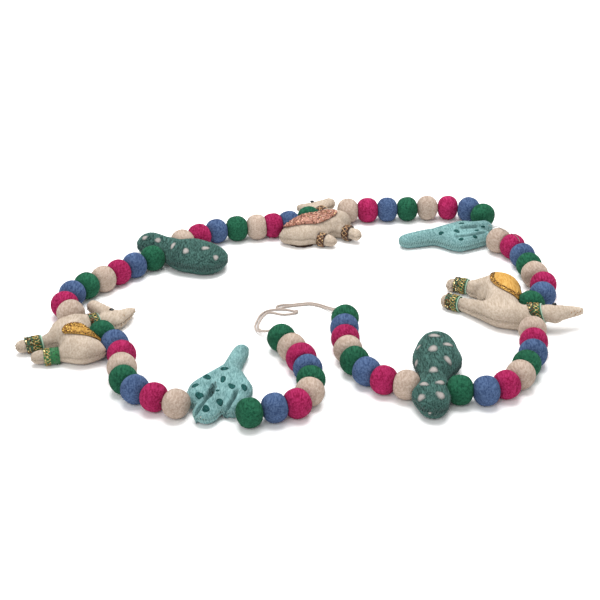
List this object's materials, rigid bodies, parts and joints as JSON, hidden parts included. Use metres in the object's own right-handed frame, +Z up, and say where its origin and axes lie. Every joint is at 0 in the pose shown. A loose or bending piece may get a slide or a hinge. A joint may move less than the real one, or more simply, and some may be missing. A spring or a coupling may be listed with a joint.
{
  "type": "felt garland",
  "caption": "Garland of felt balls strung with stuffed felt llamas and cacti, laid in a loose open ring, with a hanging loop of doubled cord at each end.",
  "frame": {"origin": "middle of the garland's outline as it lies, on the table", "axes": "+Z up from the table, +X to the viewer's right along the ring's long side, +Y away from the viewer"},
  "size_m": [0.4988, 0.4108, 0.0249],
  "materials": {
    "felt_green": "matt wool felt",
    "felt_white_and_pink": "matt wool felt, one cream ball and one pink ball",
    "felt_blue_and_green": "matt wool felt, one blue ball and one green ball",
    "felt_white": "matt wool felt",
    "felt_teal": "matt wool felt with darker felt spots",
    "felt_dark_teal": "matt heathered wool felt with cream dots",
    "blanket_mustard": "matt felt with a stitched edge",
    "blanket_coral": "felt with a sequin edge",
    "ribbon_gold_green": "glittering sequin ribbon",
    "ribbon_green": "glittering sequin ribbon",
    "ribbon_brown_gold": "glittering sequin ribbon",
    "bead_black": "polished",
    "cord_cotton": "matt cotton"
  },
  "bodies": {
    "root": {"ball_end": "felt_green", "ball_pair_01": "felt_white_and_pink", "ball_pair_02": "felt_blue_and_green", "ball_pair_03": "felt_white_and_pink", "ball_pair_04": "felt_blue_and_green", "ball_pair_05": "felt_white_and_pink", "ball_pair_06": "felt_blue_and_green", "ball_pair_07": "felt_white_and_pink", "ball_pair_08": "felt_blue_and_green", "ball_pair_09": "felt_white_and_pink", "ball_pair_10": "felt_blue_and_green", "ball_pair_11": "felt_white_and_pink", "ball_pair_12": "felt_blue_and_green", "ball_pair_13": "felt_white_and_pink", "ball_pair_14": "felt_blue_and_green", "ball_pair_15": "felt_white_and_pink", "ball_pair_16": "felt_blue_and_green", "ball_pair_17": "felt_white_and_pink", "ball_pair_18": "felt_blue_and_green", "ball_pair_19": "felt_white_and_pink", "ball_pair_20": "felt_blue_and_green", "ball_pair_21": "felt_white_and_pink", "ball_pair_22": "felt_blue_and_green", "ball_pair_23": "felt_white_and_pink", "ball_pair_24": "felt_blue_and_green", "ball_pair_25": "felt_white_and_pink", "ball_pair_26": "felt_blue_and_green", "ball_pair_27": "felt_white_and_pink", "ball_pair_28": "felt_blue_and_green", "ball_pair_29": "felt_white_and_pink", "ball_pair_30": "felt_blue_and_green", "ball_pair_31": "felt_white_and_pink", "ball_pair_32": "felt_blue_and_green", "saguaro_1": "felt_teal", "saguaro_2": "felt_teal", "paddle_cactus_1": "felt_dark_teal", "paddle_cactus_2": "felt_dark_teal", "llama_1": "felt_white", "llama_1_blanket": "blanket_mustard", "llama_1_eye": "bead_black", "llama_1_front_cuff": "ribbon_gold_green", "llama_1_hind_cuff": "ribbon_green", "llama_1_collar": "ribbon_gold_green", "llama_2": "felt_white", "llama_2_blanket": "blanket_coral", "llama_2_eye": "bead_black", "llama_2_front_cuff": "ribbon_brown_gold", "llama_2_hind_cuff": "ribbon_brown_gold", "llama_2_collar": "ribbon_brown_gold", "llama_3": "felt_white", "llama_3_blanket": "blanket_mustard", "llama_3_eye": "bead_black", "llama_3_front_cuff": "ribbon_gold_green", "llama_3_hind_cuff": "ribbon_gold_green", "llama_3_collar": "ribbon_gold_green", "llama_2_blanket_hem": "ribbon_brown_gold", "cord_loop_1": "cord_cotton", "cord_loop_2": "cord_cotton"}
  },
  "joints": []
}
